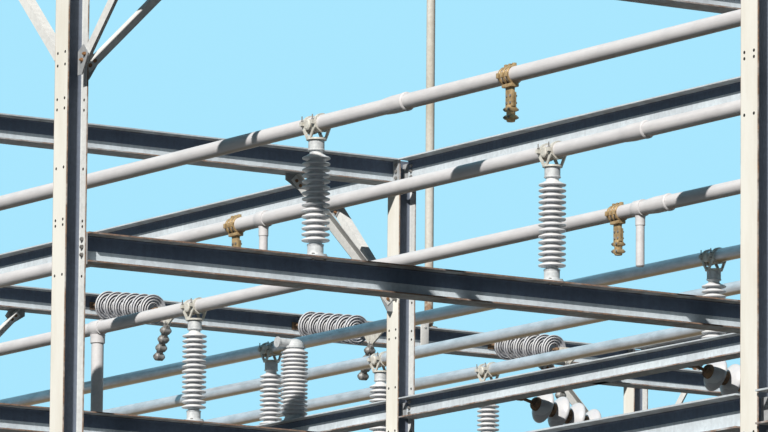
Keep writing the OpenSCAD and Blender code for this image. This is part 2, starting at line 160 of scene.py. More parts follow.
# galvanised steel: pale and dark patches, spangle, run-down streaks, rust where a flange ends
# in each look the dark bluish multiplier paints shade onto the webs, and the columns' cream outer faces are
# partly painted sunlight
steelLooks = {
    "columnSteel": {"pale": (0.72, 0.74, 0.73), "dull": (0.60, 0.62, 0.63), "rough": 0.66, "rust": 0.50,
                    "film": 0.3, "paintedShade": (0.21, 0.24, 0.31),
                    "chalkAndSunlight": (0.86, 0.85, 0.79), "chalkAndSunlightDull": (0.76, 0.73, 0.65)},
    "beamSteel": {"pale": (0.64, 0.71, 0.76), "dull": (0.46, 0.50, 0.54), "rough": 0.64, "rust": 0.54,
                  "film": 0.65, "paintedShade": (0.21, 0.24, 0.31)},
    "plateSteel": {"pale": (0.44, 0.45, 0.46), "dull": (0.26, 0.28, 0.30), "rough": 0.60, "rust": 0.55,
                   "film": 0.4},
    "braceSteel": {"pale": (0.80, 0.81, 0.79), "dull": (0.64, 0.65, 0.65), "rough": 0.60, "rust": 0.50,
                   "film": 0.4},
    "mastSteel": {"pale": (0.64, 0.63, 0.59), "dull": (0.44, 0.39, 0.30), "rough": 0.60, "rust": 0.45,
                  "film": 0.3, "rustBelow": 11.95},
}
steelLooks["rustyBeam"] = dict(steelLooks["beamSteel"], rust=0.40, film=0.85, paintedShade=(0.20, 0.23, 0.30))
rustTones = {"deep": (0.105, 0.052, 0.030), "bright": (0.33, 0.165, 0.075), "film": (0.165, 0.120, 0.085)}

# how fine each texture of the zinc is, and how far it shows
zinc = {
    "specular": 0.12, "patches": 2.2, "streaks": (26, 26, 1.6), "streakShare": 0.30,
    "spangle": 52.0, "spangleShare": 0.35, "chalkStreaks": (7, 7, 1.4), "chalkShare": 0.9, "grime": 9.0,
    "specks": 24.0, "speckShare": 0.30, "stretches": 7.0, "fringeShare": 0.55,
    "runDown": 2.2, "runShare": 0.8, "runPatches": 16.0, "rust": 40.0,
    "grain": 150.0, "grainHeight": 0.25, "grainReach": 0.0015,
}
# half the extra width of a band of colour, at an edge, on a face and at a flange end
slack, faceSlack, endSlack = 0.0005, 0.001, 0.0045


def bandOf(tree, spot, bands):
    band = None
    for axis, level, half in bands:
        near = maths(tree, "COMPARE", spot.outputs[axis], level, half)
        band = near if band is None else maths(tree, "MAXIMUM", band, near)
    return band


def facesAlong(tree, side, axis):
    return maths(tree, "GREATER_THAN", maths(tree, "ABSOLUTE", side.outputs[axis]), 0.5)


def zincBody(tree, where, look):
    patches = noiseAt(tree, where, zinc["patches"], 6.0)
    flow = noiseAt(tree, stretched(tree, where, zinc["streaks"]), 1.0, 3.0)
    cells = addNode(tree, "ShaderNodeTexVoronoi", {"Vector": where, "Scale": zinc["spangle"]})
    spangle = addNode(tree, "ShaderNodeSeparateColor", {"Color": cells.outputs["Color"]}).outputs[0]
    body = rampOf(tree, patches, [(0.30, look["dull"]), (0.62, look["pale"])])
    streaks = rampOf(tree, flow, [(0.35, look["dull"]), (0.65, look["pale"])])
    body = mixed(tree, zinc["streakShare"], body, streaks)
    crystals = rampOf(tree, spangle, [(0.0, (0.80,)), (1.0, (1.14,))])
    return mixed(tree, zinc["spangleShare"], body, crystals, "MULTIPLY"), patches


def paintShadeOnWebs(tree, spot, side, body, look, inside, shadowBands):
    # painted shade on the webs, with a blue cast: between a column's flanges, and in a band under a beam's
    # top flange where that flange's shadow falls
    dark = mixed(tree, 1.0, body, look["paintedShade"], "MULTIPLY")
    if inside:
        between = maths(tree, "SUBTRACT", 1.0, bandOf(tree, spot, inside))
        body = mixed(tree, times(tree, facesAlong(tree, side, "Y"), between), body, dark)
    for axis, band in shadowBands:
        web = times(tree, facesAlong(tree, side, axis), bandOf(tree, spot, [band]))
        body = mixed(tree, web, body, dark)
    return body


def rustOf(tree, where, spot, side, look, edges, fringe):
    # bare spots anywhere, and long rusty stretches where a flange ends
    speck = noiseAt(tree, where, zinc["specks"], 8.0, 0.7)
    rust = times(tree, rampOf(tree, speck, [(0.66, (0.0,)), (0.74, (1.0,))]), zinc["speckShare"])
    long = noiseAt(tree, where, zinc["stretches"], 8.0, 0.65)
    long = rampOf(tree, long, [(look["rust"] - 0.22, (0.12,)), (look["rust"] + 0.04, (0.85,))])
    if edges:
        thin = maths(tree, "LESS_THAN", maths(tree, "ABSOLUTE", side.outputs[edges[0][0]]), 0.4)
        rust = maths(tree, "MAXIMUM", rust, times(tree, bandOf(tree, spot, edges), thin, long))
    if fringe:
        ends = times(tree, bandOf(tree, spot, fringe), long, zinc["fringeShare"])
        rust = maths(tree, "MAXIMUM", rust, ends)
    if "rustBelow" in look:
        low = times(tree, maths(tree, "SUBTRACT", look["rustBelow"], spot.outputs["Z"]), zinc["runDown"])
        low = maths(tree, "MINIMUM", maths(tree, "MAXIMUM", low, 0.0), zinc["runShare"])
        broad = noiseAt(tree, where, zinc["runPatches"], 6.0)
        broad = rampOf(tree, broad, [(0.42, (0.0,)), (0.56, (1.0,))])
        rust = maths(tree, "MAXIMUM", rust, times(tree, low, broad))
    return rust


def weatheredSteel(name, look, edges=(), outer=(), fringe=(), shadowBands=()):
    made, tree, shader, where, side = startFinish(name, 0.0)
    shader.inputs["Specular IOR Level"].default_value = zinc["specular"]
    spot = addNode(tree, "ShaderNodeSeparateXYZ", {"Vector": where})
    body, patches = zincBody(tree, where, look)
    if outer:
        # pale cream on the flanges' outer faces: partly a chalky weathered coat, partly painted sunlight
        chalkAndSunlight = noiseAt(tree, stretched(tree, where, zinc["chalkStreaks"]), 1.0, 6.0)
        chalkAndSunlight = rampOf(tree, chalkAndSunlight, [(0.32, look["chalkAndSunlightDull"]), (0.60, look["chalkAndSunlight"])])
        body = mixed(tree, times(tree, bandOf(tree, spot, outer), zinc["chalkShare"]), body, chalkAndSunlight)
    # downward faces turn browner, in patches
    under = maths(tree, "LESS_THAN", side.outputs["Z"], -0.5)
    grime = rampOf(tree, noiseAt(tree, where, zinc["grime"], 5.0), [(0.35, (0.55,)), (0.60, (1.0,))])
    body = mixed(tree, times(tree, under, look["film"], grime), body, rustTones["film"])
    # painted shade on the webs
    if "paintedShade" in look:
        body = paintShadeOnWebs(tree, spot, side, body, look, edges if outer else (), shadowBands)
    rust = rustOf(tree, where, spot, side, look, edges, fringe)
    tone = noiseAt(tree, where, zinc["rust"], 5.0)
    tone = rampOf(tree, tone, [(0.35, rustTones["deep"]), (0.65, rustTones["bright"])])
    tree.links.new(mixed(tree, rust, body, tone), shader.inputs["Base Color"])
    roughBetween(tree, shader, patches, look["rough"] - 0.10, look["rough"] + 0.12)
    grain = noiseAt(tree, where, zinc["grain"], 3.0)
    giveBump(tree, shader, grain, zinc["grainHeight"], zinc["grainReach"])
    return made


# bands under a beam's top flange, as deep as that flange's shadow on the web, for painted shade
def beamShadowBands(top, flange, across, along):
    bands = (("Y", across), ("X", along))
    return [(axis, ("Z", top - flange - tall / 2, tall / 2)) for axis, tall in bands]


def beamEdges(top, depth, flange, both):
    lower = [("Z", top - depth + flange / 2, flange / 2 + slack)]
    return lower + [("Z", top - flange / 2, flange / 2 + slack)] if both else lower


# oxidised tube: light on top, browner along the very bottom
tubeLooks = {
    "tubeMetal": {"top": (0.67, 0.66, 0.675), "flat": (0.60, 0.59, 0.605), "under": (0.30, 0.24, 0.19),
                  "from": -0.96, "to": -0.70, "metal": 0.0, "rough": 0.50},
    "rearTubeMetal": {"top": (0.58, 0.62, 0.67), "flat": (0.44, 0.48, 0.52), "under": (0.46, 0.34, 0.20),
                      "from": -0.80, "to": -0.52, "metal": 0.35, "rough": 0.38},
    "endCap": {"top": (0.46, 0.34, 0.20), "flat": (0.36, 0.27, 0.17), "under": (0.30, 0.22, 0.14),
               "from": -0.96, "to": -0.70, "metal": 0.05, "rough": 0.60},
}
oxide = {"specular": 0.35, "film": (9, 0.8, 9), "waver": 0.35, "blotches": (14, 5, 14),
         "drawn": (60, 1.2, 60), "drawnShare": 0.4, "drawnHeight": 0.10, "drawnReach": 0.001}


def oxidisedTube(name, look):
    made, tree, shader, where, side = startFinish(name, look["metal"])
    shader.inputs["Specular IOR Level"].default_value = oxide["specular"]
    film = noiseAt(tree, stretched(tree, where, oxide["film"]), 1.0, 6.0)
    blotch = noiseAt(tree, stretched(tree, where, oxide["blotches"]), 1.0, 7.0, 0.62)
    body = rampOf(tree, blotch, [(0.36, look["flat"]), (0.58, look["top"])])
    waver = times(tree, maths(tree, "SUBTRACT", film, 0.5), oxide["waver"])
    low = addNode(tree, "ShaderNodeMapRange", {
        "Value": maths(tree, "ADD", side.outputs["Z"], waver),
        "From Min": look["from"], "From Max": look["to"], "To Min": 1.0, "To Max": 0.0})
    body = mixed(tree, low.outputs["Result"], body, look["under"])
    drawn = noiseAt(tree, stretched(tree, where, oxide["drawn"]), 1.0, 3.0)
    marks = rampOf(tree, drawn, [(0.3, (0.86, 0.86, 0.87)), (0.7, (1.08, 1.08, 1.06))])
    body = mixed(tree, oxide["drawnShare"], body, marks, "MULTIPLY")
    tree.links.new(body, shader.inputs["Base Color"])
    roughBetween(tree, shader, film, look["rough"] - 0.10, look["rough"] + 0.12)
    giveBump(tree, shader, drawn, oxide["drawnHeight"], oxide["drawnReach"])
    return made


# castings, with sand texture and grime: pale, dull, metallic, roughness, grain
castLooks = {
    "castIron": ((0.62, 0.64, 0.65), (0.44, 0.46, 0.48), 0.10, 0.60, 220.0),
    "castAluminium": ((0.68, 0.66, 0.60), (0.46, 0.44, 0.39), 0.10, 0.58, 260.0),
    "bronze": ((0.50, 0.35, 0.18), (0.26, 0.17, 0.085), 0.20, 0.52, 240.0),
    "rustyLink": ((0.27, 0.17, 0.10), (0.085, 0.055, 0.040), 0.05, 0.80, 180.0),
    "rustyBolt": ((0.34, 0.18, 0.085), (0.12, 0.065, 0.040), 0.05, 0.78, 260.0),
    "boltSteel": ((0.30, 0.29, 0.28), (0.11, 0.10, 0.09), 0.20, 0.55, 300.0),
    # the dark inside of a hole, painted as shade
    "paintedHoleShade": ((0.030, 0.026, 0.024), (0.016, 0.014, 0.013), 0.0, 0.90, 300.0),
}
sand = {"specular": 0.3, "grime": 26.0, "height": 0.35, "reach": 0.001}


def sandCast(name, pale, dull, metal, rough, grain):
    made, tree, shader, where = startFinish(name, metal)[:4]
    shader.inputs["Specular IOR Level"].default_value = sand["specular"]
    grime = noiseAt(tree, where, sand["grime"], 6.0, 0.6)
    tree.links.new(rampOf(tree, grime, [(0.34, dull), (0.60, pale)]), shader.inputs["Base Color"])
    roughBetween(tree, shader, grime, rough + 0.12, rough - 0.08)
    giveBump(tree, shader, noiseAt(tree, where, grain, 2.0), sand["height"], sand["reach"])
    return made


# glazed porcelain: cool grey, dust in patches, painted shade on the downward faces
glazeLooks = {
    "porcelain": {"glaze": (0.72, 0.73, 0.76), "dust": (0.77, 0.77, 0.76), "under": (0.54, 0.55, 0.59)},
    "discPorcelain": {"glaze": (0.55, 0.56, 0.60), "dust": (0.61, 0.61, 0.62), "under": (0.34, 0.35, 0.39)},
}
glazing = {"stains": 18.0, "below": -0.25, "paintedShadeShare": 0.6, "smooth": 0.25, "dusty": 0.50,
           "ripples": 90.0, "height": 0.06, "reach": 0.001}


def glazedPorcelain(name, look):
    made, tree, shader, where, side = startFinish(name, 0.0)
    stain = noiseAt(tree, where, glazing["stains"], 6.0, 0.6)
    body = rampOf(tree, stain, [(0.35, look["glaze"]), (0.65, look["dust"])])
    # downward faces darker: painted shade under the sheds
    below = maths(tree, "LESS_THAN", side.outputs["Z"], glazing["below"])
    body = mixed(tree, times(tree, below, glazing["paintedShadeShare"]), body, look["under"])
    tree.links.new(body, shader.inputs["Base Color"])
    roughBetween(tree, shader, stain, glazing["smooth"], glazing["dusty"])
    ripples = noiseAt(tree, where, glazing["ripples"], 2.0)
    giveBump(tree, shader, ripples, glazing["height"], glazing["reach"])
    return made


# the columns' flange tips, outer faces and flange ends, as bands of the grid
edge = g["columnFlange"]
columnEdges = [("X", x + side * (g["columnDepth"] - edge) / 2, edge / 2 + slack)
               for x in g["lines"] for side in (-1, 1)]
columnFaces = [("X", x + side * g["columnDepth"] / 2, faceSlack) for x in g["lines"] for side in (-1, 1)]
columnFringe = [("Y", y + side * g["columnWidth"] / 2, endSlack) for y in g["rows"] for side in (-1, 1)]

# runs of beams: look, top, section, height of the painted shade band on webs across and along, and
# whether the upper flange rusts too
beamRuns = {
    "highBeamSteel": ("beamSteel", "highTop", "beam", 0.098, 0.068, False),
    "lowBeamSteel": ("rustyBeam", "lowTop", "beam", 0.098, 0.068, True),
    "runBeamSteel": ("beamSteel", "runTop", "column", 0.090, 0.050, False),
    "nearBeamSteel": ("beamSteel", "nearTop", "beam", 0.098, 0.068, False),
}
finishes = {"columnSteel": weatheredSteel("columnSteel", steelLooks["columnSteel"],
                                          columnEdges, columnFaces, columnFringe)}
for name, (look, top, section, across, along, both) in beamRuns.items():
    top, depth, flange = g[top], g[section + "Depth"], g[section + "Flange"]
    finishes[name] = weatheredSteel(name, steelLooks[look], beamEdges(top, depth, flange, both),
                                    shadowBands=beamShadowBands(top, flange, across, along))
for name in ("plateSteel", "braceSteel", "mastSteel"):
    finishes[name] = weatheredSteel(name, steelLooks[name])
for name, look in glazeLooks.items():
    finishes[name] = glazedPorcelain(name, look)
for name, look in tubeLooks.items():
    finishes[name] = oxidisedTube(name, look)
for name, look in castLooks.items():
    finishes[name] = sandCast(name, *look)
print("finishes made,", len(finishes))


# the CAD steel keeps its shape and takes a finish, by its name or by a word in it
finishOf = {
    "end_plates": "plateSteel", "shear_tabs": "plateSteel", "near_line_low_beams": "nearBeamSteel",
    "middle_line_low_beams": "runBeamSteel", "far_line_low_beam": "runBeamSteel",
    "rear_stringers": "runBeamSteel", "rear_tubes": "rearTubeMetal", "bus_clamps": "castAluminium",
    "post_caps": "castIron", "post_bases": "castIron", "rear_post_metal": "castIron",
    "arrester_metal": "castIron",
}
finishByWord = {
    "_columns": "columnSteel", "high_cross": "highBeamSteel", "high_beams": "highBeamSteel",
    "low_cross": "lowBeamSteel", "main_tube": "tubeMetal",
}
for nodeName, piece in nodes.items():
    named = [finishOf[nodeName]] if nodeName in finishOf else []
    named += [finish for word, finish in finishByWord.items() if word in nodeName]
    # the other nodes are replaced below
    if named:
        for slotAt in piece.material_slots:
            slotAt.material = finishes[named[0]]
print("finishes given to the frame")


# mesh helpers
lyingAlongX = Matrix.Rotation(math.pi / 2, 4, "Y")
lyingAlongY = Matrix.Rotation(math.pi / 2, 4, "X")
quarterTurn = Matrix.Rotation(math.pi / 2, 4, "Z")
swapYZ = Matrix(((1, 0, 0, 0), (0, 0, 1, 0), (0, 1, 0, 0), (0, 0, 0, 1)))
# corners closer than this become one
mergeWithin = 0.00002


def asMesh(name, bm):
    mesh = bpy.data.meshes.new(name)
    bm.to_mesh(mesh)
    bm.free()
    return mesh


def closeMesh(bm):
    bmesh.ops.remove_doubles(bm, verts=bm.verts, dist=mergeWithin)
    bmesh.ops.recalc_face_normals(bm, faces=bm.faces)
    return bm


def turned(profile, steps):
    bm = bmesh.new()
    rim = [bm.verts.new((radius, 0, z)) for radius, z in profile]
    line = [bm.edges.new(pair) for pair in zip(rim, rim[1:])]
    bmesh.ops.spin(bm, geom=rim + line, cent=(0, 0, 0), axis=(0, 0, 1), angle=math.tau, steps=steps,
                   use_merge=True)
    return closeMesh(bm)


def asObject(name, bm, finish, sharp):
    mesh = asMesh(name, bm)
    mesh.materials.append(finishes[finish])
    mesh.polygons.foreach_set("use_smooth", [True] * len(mesh.polygons))
    mesh.set_sharp_from_angle(angle=math.radians(sharp))
    made = bpy.data.objects.new(name, mesh)
    bpy.context.scene.collection.objects.link(made)
    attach(made, "root")
    return made


def repeated(part, places):
    mesh = asMesh("onePart", part)
    whole = bmesh.new()
    for place in places:
        first = len(whole.verts)
        whole.from_mesh(mesh)
        whole.verts.ensure_lookup_table()
        bmesh.ops.transform(whole, matrix=place, verts=whole.verts[first:])
    bpy.data.meshes.remove(mesh)
    return whole


def addBlock(bm, low, high, place, soft):
    middle = [(a + b) / 2 for a, b in zip(low, high)]
    size = [b - a for a, b in zip(low, high)]
    spot = place @ Matrix.Translation(middle) @ Matrix.Diagonal((*size, 1))
    made = bmesh.ops.create_cube(bm, size=1.0, matrix=spot)
    rims = list({edge for vert in made["verts"] for edge in vert.link_edges})
    bmesh.ops.bevel(bm, geom=rims, offset=soft, segments=2, affect="EDGES", profile=0.6, material=-1)


def addPlate(bm, outline, thick, place):
    # outline in the plate's own x and z, thickness along y
    sides = [[bm.verts.new(place @ Vector((x, y, z))) for x, z in outline] for y in (-thick / 2, thick / 2)]
    faces = [bm.faces.new(sides[0]), bm.faces.new(list(reversed(sides[1])))]
    for k in range(len(outline)):
        j = (k + 1) % len(outline)
        faces.append(bm.faces.new([sides[0][j], sides[0][k], sides[1][k], sides[1][j]]))
    bmesh.ops.recalc_face_normals(bm, faces=faces)


def addRound(bm, outline, steps, place):
    # outline in radius and height, turned round the place's own z
    mesh = asMesh("onePart", turned(outline, steps))
    mesh.transform(place)
    bm.from_mesh(mesh)
    bpy.data.meshes.remove(mesh)


def addCone(bm, base, sides, wide, tip, low, tall):
    lift = Matrix.Translation((0, 0, low + tall / 2))
    bmesh.ops.create_cone(bm, cap_ends=True, segments=sides, radius1=wide, radius2=tip, depth=tall,
                          matrix=base @ lift)


def aimed(at, out):
    return Matrix.Translation(at) @ Vector(out).to_track_quat("Z", "Y").to_matrix().to_4x4()


def rodOutline(low, high, radius):
    return [(0, low), (radius, low), (radius, high), (0, high)]


# porcelain posts with rounded sheds, and the one wide housing behind them
postShapes = {
    "post": {"core": 0.043, "rim": 0.091, "sheds": 15, "first": 0.115, "last": 0.647,
             "foot": 0.080, "top": 0.698, "steps": 44},
    "wide": {"core": 0.066, "rim": 0.106, "sheds": 16, "first": 0.054, "last": 0.528,
             "foot": 0.040, "top": 0.560, "steps": 52},
}
wideBehindRow = 1.5


def shedOutline(z, core, rim):
    return [(core, z - 0.0100), (core + 0.005, z - 0.0070), (rim - 0.012, z - 0.0084),
            (rim - 0.004, z - 0.0080), (rim - 0.001, z - 0.0058), (rim, z - 0.0030), (rim, z - 0.0002),
            (rim - 0.0015, z + 0.0024), (rim - 0.005, z + 0.0044), (rim - 0.020, z + 0.0095),
            (core + 0.012, z + 0.0195), (core + 0.004, z + 0.0235), (core, z + 0.0262)]


def ribbedPost(shape):
    outline = [(0.0, shape["foot"]), (shape["core"], shape["foot"])]
    pitch = (shape["last"] - shape["first"]) / (shape["sheds"] - 1)
    for k in range(shape["sheds"]):
        outline += shedOutline(shape["first"] + k * pitch, shape["core"], shape["rim"])
    top = max(shape["top"], outline[-1][1] + 0.0005)
    return turned(outline + [(shape["core"], top), (0.0, top)], shape["steps"])


def porcelainRow(name, kind, places):
    posts = repeated(ribbedPost(postShapes[kind]), [Matrix.Translation(place) for place in places])
    return asObject(name, posts, "porcelain", sharp=50)


for k, rowY in enumerate(g["rows"]):
    row = porcelainRow("porcelain_row_%d" % (k + 1), "post", [(x, rowY, g["lowTop"]) for x in g["phases"]])
    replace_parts(row, "post_porcelain_row_%d" % (k + 1))
rearFeet = [(x, y, g["runTop"]) for x in g["rearPhases"] for y in g["rearRows"]]
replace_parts(porcelainRow("porcelain_rear", "post", rearFeet), "rear_post_porcelain")
wideFoot = (0.0, g["rows"][2] + wideBehindRow, g["runTop"])
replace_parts(porcelainRow("porcelain_wide", "wide", [wideFoot]), "arrester_porcelain")
print("posts made")


# strain strings: each disc has deep ribs under it and a domed crown
stringShape = {
    "discs": 6, "sideDiscs": 4, "pitch": 0.146, "link": 0.150, "sideLink": 0.085,
    "droop": 9.0, "sideDroop": 14.0, "steps": 44, "capTop": 0.124, "endGap": 0.050, "endLong": 0.062,
    "linkRadius": 0.012, "pinRadius": 0.010, "pinEnds": (-0.022, 0.036), "endRadius": 0.020,
    "backX": [1.71, 3.74, 5.77], "backY": 11.08675, "backZ": 11.155,
    "sideY": [0.0, 2.2], "sideX": 0.108, "sideZ": 9.270,
    "backFoot": ((-0.032, 0.0, -0.042), (0.032, 0.010, 0.022)),
    "sideFoot": ((-0.040, -0.032, -0.012), (0.006, 0.032, 0.020)), "footSoft": 0.002,
}
discOutline = [
    (0.0, 0.036), (0.034, 0.036), (0.040, 0.041), (0.0505, 0.040), (0.0530, 0.018), (0.0545, 0.0138),
    (0.0565, 0.0130), (0.0585, 0.0145), (0.0600, 0.019), (0.0620, 0.040), (0.0745, 0.040), (0.0765, 0.016),
    (0.0780, 0.0118), (0.0800, 0.0110), (0.0820, 0.0125), (0.0835, 0.017), (0.0855, 0.038), (0.0985, 0.037),
    (0.1005, 0.015), (0.1020, 0.0108), (0.1040, 0.0100), (0.1060, 0.0115), (0.1075, 0.016), (0.1095, 0.034),
    (0.1180, 0.031), (0.1200, 0.0215), (0.1220, 0.0182), (0.1250, 0.0190), (0.1268, 0.0225),
    (0.1270, 0.0300), (0.1240, 0.0375), (0.112, 0.049), (0.094, 0.061), (0.072, 0.073), (0.058, 0.080),
    (0.050, 0.084), (0.0, 0.084)]
discCap = [(0, 0.084), (0.054, 0.084), (0.0545, 0.092), (0.051, 0.102), (0.046, 0.113), (0.038, 0.121),
           (0.030, 0.124), (0, 0.124)]


def stringPlaces():
    s = stringShape
    backTurn = Matrix.Rotation(math.radians(-90 + s["droop"]), 4, "X")
    sideTurn = Matrix.Rotation(math.radians(-90 + s["sideDroop"]), 4, "Y") @ quarterTurn
    back = [Matrix.Translation((x, s["backY"], s["backZ"])) @ backTurn for x in s["backX"]]
    side = [Matrix.Translation((s["sideX"], y, s["sideZ"])) @ sideTurn for y in s["sideY"]]
    return [(m, s["discs"], s["link"]) for m in back] + [(m, s["sideDiscs"], s["sideLink"]) for m in side]


def discPlace(start, lead, k):
    return start @ Matrix.Translation((0, 0, -lead - stringShape["capTop"] - k * stringShape["pitch"]))


discPlaces = [discPlace(start, lead, k) for start, count, lead in stringPlaces() for k in range(count)]
discs = repeated(turned(discOutline, stringShape["steps"]), discPlaces)
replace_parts(asObject("string_porcelain", discs, "discPorcelain", sharp=50), "string_discs")


# triangular yoke at each string's end, with a dead-end body on it, drawn in x and z
yokeShape = {
    "plate": [(-0.026, 0), (0.024, 0), (0.034, -0.030), (0.124, -0.136), (0.128, -0.172), (0.104, -0.192),
              (0.006, -0.322), (-0.026, -0.326)],
    "arm": [(0.088, -0.150), (0.128, -0.184), (0.398, -0.096), (0.424, -0.064), (0.418, -0.042),
            (0.392, -0.042), (0.112, -0.132)],
    "plateThick": 0.016, "armThick": 0.034,
    # x, z, radius and reach of the pin; the bosses follow it along the arm
    "pin": (0.106, -0.166, 0.015, 0.024), "bosses": 4, "boss": 0.033, "bossReach": 0.050,
    "bossFrom": (0.168, -0.144), "bossStep": (0.074, 0.022), "tipShare": 0.45, "fullShare": 0.6,
}


def stringFittings():
    metal, yokes, bodies = bmesh.new(), bmesh.new(), bmesh.new()
    upright = Matrix(((0, 0, 1, 0), (1, 0, 0, 0), (0, 1, 0, 0), (0, 0, 0, 1)))
    s, y = stringShape, yokeShape
    (bossX, bossZ), (stepX, stepZ) = y["bossFrom"], y["bossStep"]
    pins = [y["pin"]] + [(bossX + i * stepX, bossZ + i * stepZ, y["boss"], y["bossReach"])
                         for i in range(y["bosses"])]
    for k, (start, count, lead) in enumerate(stringPlaces()):
        addRound(metal, rodOutline(-lead, 0, s["linkRadius"]), 20, start)
        for disc in range(count):
            place = discPlace(start, lead, disc)
            addRound(metal, discCap, 32, place)
            addRound(metal, rodOutline(*s["pinEnds"], s["pinRadius"]), 16, place)
        end = -lead - count * s["pitch"] - s["endGap"]
        addRound(metal, rodOutline(end, end + s["endLong"], s["endRadius"]), 24, start)
        foot = s["backFoot"] if k < len(s["backX"]) else s["sideFoot"]
        addBlock(metal, *foot, Matrix.Translation(start.to_translation()), s["footSoft"])
        lying = start @ Matrix.Translation((0, 0, end)) @ upright @ lyingAlongY
        addPlate(yokes, [(x, -z) for x, z in y["plate"]], y["plateThick"], lying)
        addPlate(bodies, [(x, -z) for x, z in y["arm"]], y["armThick"], lying)
        for x, z, wide, reach in pins:
            tip, full = wide * y["tipShare"], reach * y["fullShare"]
            outline = [(0, -reach), (tip, -reach), (wide, -full), (wide, full), (tip, reach), (0, reach)]
            addRound(bodies, outline, 20, lying @ Matrix.Translation((x, 0, -z)) @ lyingAlongY)
    return metal, yokes, bodies


metal, yokes, bodies = stringFittings()
asObject("dead_end_bodies", bodies, "boltSteel", sharp=35)
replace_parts(asObject("string_links", metal, "rustyLink", sharp=35), "string_metal")
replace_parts(asObject("string_yokes", yokes, "castAluminium", sharp=35), "yoke_plates")
print("strings made")


# knee braces: one angle each between two small gussets
braceShape = {
    "leg": 0.066, "thick": 0.006, "gusset": 0.008, "inset": 0.028,
    # corners from the column's face at the brace's foot, and from where the brace meets the beam
    "lowerGusset": [(0, -0.040), (0, 0.110), (0.060, 0.150), (0.125, 0.085), (0.050, -0.040)],
    "upperGusset": [(-0.110, 0), (0.040, 0), (0.040, -0.050), (-0.085, -0.125), (-0.150, -0.060)],
}
# how far along a brace's slope it meets the beam
braceHit = g["braceLeg"] - g["beamDepth"] / 2


def bracePlaces():
    flip, flipBack = Matrix.Diagonal((-1, 1, 1, 1)), Matrix.Diagonal((1, -1, 1, 1))
    across, along = [], []
    for row, span in g["highCross"]:
        across.append(Matrix.Translation((g["lines"][span], g["rows"][row], 0)))
        across.append(Matrix.Translation((g["lines"][span + 1], g["rows"][row], 0)) @ flip)
    for line, span in g["bracedRun"]:
        along.append(Matrix.Translation((g["lines"][line], g["rows"][span], 0)) @ quarterTurn)
        along.append(Matrix.Translation((g["lines"][line], g["rows"][span + 1], 0)) @ flipBack @ quarterTurn)
    return across, along


def braceBars(places, start):
    b, bm = braceShape, bmesh.new()
    first, last = start + b["inset"], braceHit - b["inset"]
    half, face, thick = b["leg"] / 2, -b["gusset"] / 2, b["thick"]
    section = [(-half, face), (half, face), (half, face - thick), (-half + thick, face - thick),
               (-half + thick, face - b["leg"]), (-half, face - b["leg"])]
    long = (last - first) * math.sqrt(2)
    # the section lies across the bar, which runs up the foot's own z
    upBar = Matrix.Rotation(math.pi / 4, 4, "Y")
    for place in places:
        foot = place @ Matrix.Translation((first, 0, g["braceFoot"] + first)) @ upBar
        addPlate(bm, section, long, foot @ Matrix.Translation((0, 0, long / 2)) @ swapYZ)
    return closeMesh(bm)


def braceGussets(places, start):
    bm = bmesh.new()
    foot, top = g["braceFoot"] + start, g["highTop"] - g["beamDepth"]
    lower = [(start + x, foot + z) for x, z in braceShape["lowerGusset"]]
    upper = [(braceHit + x, top + z) for x, z in braceShape["upperGusset"]]
    for place in places:
        for outline in (lower, upper):
            addPlate(bm, outline, braceShape["gusset"], place)
    return closeMesh(bm)


acrossPlaces, alongPlaces = bracePlaces()
for word, places, start in (("across", acrossPlaces, g["columnDepth"] / 2),
                            ("along", alongPlaces, g["columnWidth"] / 2)):
    bars = asObject("brace_bars_" + word, braceBars(places, start), "braceSteel", sharp=30)
    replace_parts(bars, "knee_braces_" + word)
    gussets = asObject("brace_gussets_" + word, braceGussets(places, start), "plateSteel",
                       sharp=30)
    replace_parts(gussets, "gussets_" + word)
print("braces made")


# sleeves on the tubes and tees with a hanging pipe, in radius and height
busShape = {
    "sleeve": [(0.050, -0.160), (0.0525, -0.160), (0.058, -0.070), (0.058, 0.060), (0.061, 0.064),
               (0.061, 0.080), (0.054, 0.088), (0.050, 0.088), (0.050, -0.160)],
    # phase and place along it; a tee adds its drop, its pipe's radius and its collar's
    "sleeves": [(0, -4.68), (1, -4.70), (2, -2.35)],
    "tees": [(1, -0.16, 0.395, 0.030, 0.034), (2, -2.08, 0.395, 0.030, 0.034),
             (2, 5.1, 1.25, 0.047, 0.056)],
    "taps": [(0, -5.92), (1, 0.20), (2, -1.81)],
    # the body round the tube at a tee: bore, lip and full radius, length past the pipe, slope
    "teeRadii": (0.050, 0.057, 0.059), "teePast": 0.018, "teeSlope": 0.004,
}


def onTube(phase, y):
    return Matrix.Translation((g["phases"][phase], y, g["tubeZ"]))


def tubeSleeves():
    bm = bmesh.new()
    for phase, y in busShape["sleeves"]:
        addRound(bm, busShape["sleeve"], 56, onTube(phase, y) @ lyingAlongY)
    return bm


def tubeTees():
    bm = bmesh.new()
    bore, lip, body = busShape["teeRadii"]
    for phase, y, drop, radius, collar in busShape["tees"]:
        place = onTube(phase, y)
        wide = radius + busShape["teePast"]
        full = wide - busShape["teeSlope"]
        around = [(bore, -wide), (lip, -wide), (body, -full), (body, full), (lip, wide), (bore, wide),
                  (bore, -wide)]
        addRound(bm, around, 56, place @ lyingAlongY)
        pipe = [(0, -drop - 0.008), (radius - 0.006, -drop - 0.008), (radius - 0.002, -drop - 0.003),
                (radius, -drop), (radius, -0.122), (collar, -0.116), (collar, -0.070),
                (collar + 0.003, -0.052), (0, -0.052)]
        addRound(bm, pipe, 44, place)
    return bm


